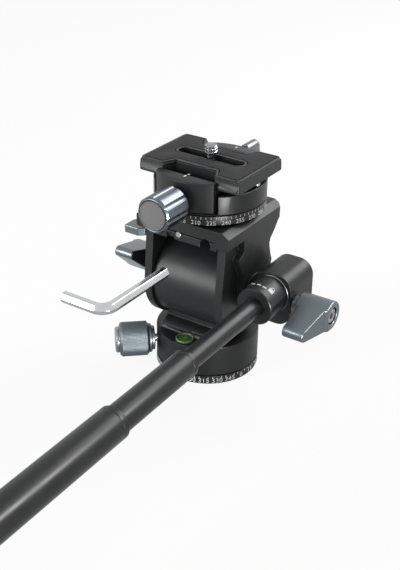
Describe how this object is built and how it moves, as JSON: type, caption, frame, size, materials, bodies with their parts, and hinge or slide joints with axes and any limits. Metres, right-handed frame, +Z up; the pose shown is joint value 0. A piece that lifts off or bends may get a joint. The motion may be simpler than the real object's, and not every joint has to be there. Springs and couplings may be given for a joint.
{
  "type": "fluid video head",
  "caption": "Compact fluid video head: pan base with a degree scale, tilt barrel in a yoke, rotating plate clamp with a slotted camera plate, and a telescopic pan handle.",
  "frame": {"origin": "centre of the base, on the face that sits on the tripod", "axes": "+Z up along the pan axis; X is the tilt axis, +X towards the handle; +Y is the lens direction, -Y the operator's side, where the handle points"},
  "size_m": [0.115, 0.2812, 0.1166],
  "materials": {
    "black_anodised": "satin black anodised",
    "black_bead": "bead blasted, black anodised",
    "grey_anodised": "polished, blue-grey anodised",
    "face_grey": "fine turned, grey anodised",
    "steel": "machined",
    "chrome_key": "nickel plated",
    "brass": "machined",
    "drag_plastic": "moulded",
    "sleeve_plastic": "moulded",
    "black_rubber": "matt",
    "vial_liquid": "clear green"
  },
  "bodies": {
    "base": {"base_plate": "black_bead", "base_scale_ring": "black_anodised", "thread_insert": "steel", "pan_spindle": "steel", "base_screws": "steel"},
    "pan": {"pan_retainer": "black_bead", "pan_thrust_washer": "brass", "pan_drag_discs": "drag_plastic", "pan_housing": "black_anodised", "bubble_cup": "steel", "bubble_vial": "vial_liquid", "tilt_barrel": "black_anodised", "barrel_caps": "black_bead", "barrel_screws": "steel", "tilt_bushes": "brass", "barrel_seals": "black_rubber", "tilt_drag_discs": "drag_plastic"},
    "pan_lock": {"pan_knob": "grey_anodised", "pan_knob_cap": "grey_anodised", "pan_lock_screw": "steel"},
    "tilt": {"yoke": "black_anodised", "tilt_shaft": "steel", "rosette_fixed": "steel", "handle_stud": "steel", "key_magnet": "steel", "panorama_base": "black_bead", "upper_scale_ring": "black_anodised"},
    "tilt_lock": {"tilt_lever": "grey_anodised", "tilt_lever_screw": "steel", "tilt_stud": "steel"},
    "side_lever": {"side_lever": "grey_anodised", "side_lever_screw": "steel"},
    "panorama_lock": {"panorama_lever": "grey_anodised", "panorama_lever_screw": "steel", "panorama_lock_screw": "steel"},
    "handle": {"handle_holder": "black_anodised", "rosette_moving": "steel", "inner_tube": "black_anodised"},
    "handle_collar": {"handle_collar": "black_anodised"},
    "handle_middle": {"middle_tube": "black_anodised", "middle_sleeve": "sleeve_plastic"},
    "handle_grip": {"grip_tube": "black_anodised", "grip_sleeve": "sleeve_plastic", "grip_end_cap": "black_rubber"},
    "handle_lock": {"wing_lever": "grey_anodised", "wing_lever_screw": "steel"},
    "clamp": {"clamp_body": "black_anodised", "panorama_retainer": "steel", "jaw_guide_pins": "steel", "jaw_springs": "steel"},
    "jaw": {"clamp_jaw": "black_anodised"},
    "clamp_knob": {"clamp_screw": "steel", "clamp_knob": "grey_anodised", "clamp_knob_cap": "face_grey"},
    "plate": {"quick_plate": "black_anodised", "plate_pad": "black_rubber", "plate_stop_screws": "steel"},
    "screw_carriage": {"screw_washer": "steel"},
    "camera_screw": {"camera_screw": "steel"},
    "hex_key": {"hex_key": "chrome_key"}
  },
  "joints": [
    {"name": "pan", "type": "hinge", "parent": "base", "child": "pan", "pos_m": [0, 0, 0.0135], "axis": [0, 0, 1], "continuous": true},
    {"name": "pan_lock", "type": "hinge", "parent": "pan", "child": "pan_lock", "pos_m": [0, 0, 0.0135], "axis": [-0.7431, -0.6691, 0], "range_deg": [0, 270]},
    {"name": "tilt", "type": "hinge", "parent": "pan", "child": "tilt", "pos_m": [0, 0, 0.0472], "axis": [1, 0, 0], "range_deg": [-90, 75]},
    {"name": "tilt_lock", "type": "hinge", "parent": "tilt", "child": "tilt_lock", "pos_m": [-0.0261, 0, 0.0472], "axis": [-1, 0, 0], "range_deg": [0, 120]},
    {"name": "side_lever_turn", "type": "hinge", "parent": "tilt", "child": "side_lever", "pos_m": [-0.0229, -0.0169, 0.0734], "axis": [1, 0, 0], "range_deg": [0, 75]},
    {"name": "panorama_lock", "type": "hinge", "parent": "tilt", "child": "panorama_lock", "pos_m": [-0.006, 0.0282, 0.08175], "axis": [0, 1, 0], "range_deg": [0, 120]},
    {"name": "handle_angle", "type": "hinge", "parent": "tilt", "child": "handle", "pos_m": [0.0284, 0, 0.0472], "axis": [1, 0, 0], "continuous": true},
    {"name": "collar_twist", "type": "hinge", "parent": "handle", "child": "handle_collar", "pos_m": [0.038, -0.01409, 0.05141], "axis": [0, -0.9998, -0.0209], "range_deg": [0, 90]},
    {"name": "middle_slide", "type": "slide", "parent": "handle", "child": "handle_middle", "axis": [0, 0.9998, 0.0209], "range_m": [0, 0.045]},
    {"name": "grip_slide", "type": "slide", "parent": "handle_middle", "child": "handle_grip", "axis": [0, 0.9998, 0.0209], "range_m": [0, 0.045]},
    {"name": "handle_lock", "type": "hinge", "parent": "tilt", "child": "handle_lock", "pos_m": [0.0489, 0, 0.0472], "axis": [1, 0, 0], "range_deg": [0, 120]},
    {"name": "panorama", "type": "hinge", "parent": "tilt", "child": "clamp", "pos_m": [0, 0, 0.092], "axis": [0, 0, 1], "range_deg": [-145, 145]},
    {"name": "jaw_slide", "type": "slide", "parent": "clamp", "child": "jaw", "axis": [0, -1, 0], "range_m": [0, 0.0026]},
    {"name": "clamp_knob_turn", "type": "hinge", "parent": "jaw", "child": "clamp_knob", "pos_m": [0, -0.03, 0.0975], "axis": [0, -1, 0], "range_deg": [0, 936]},
    {"name": "plate_slide", "type": "slide", "parent": "clamp", "child": "plate", "axis": [1, 0, 0], "range_m": [-0.0028, 0.0028]},
    {"name": "screw_slide", "type": "slide", "parent": "plate", "child": "screw_carriage", "axis": [1, 0, 0], "range_m": [-0.0143, 0.0143]},
    {"name": "camera_screw_turn", "type": "hinge", "parent": "screw_carriage", "child": "camera_screw", "pos_m": [0, 0, 0.107], "axis": [0, 0, 1], "continuous": true},
    {"name": "key_slide", "type": "slide", "parent": "tilt", "child": "hex_key", "axis": [0, 1, 0], "range_m": [0, 0.0676]}
  ],
  "couplings": [
    {"joint": "clamp_knob_turn", "follows": "jaw_slide", "rad_per_m": 6283.2}
  ]
}
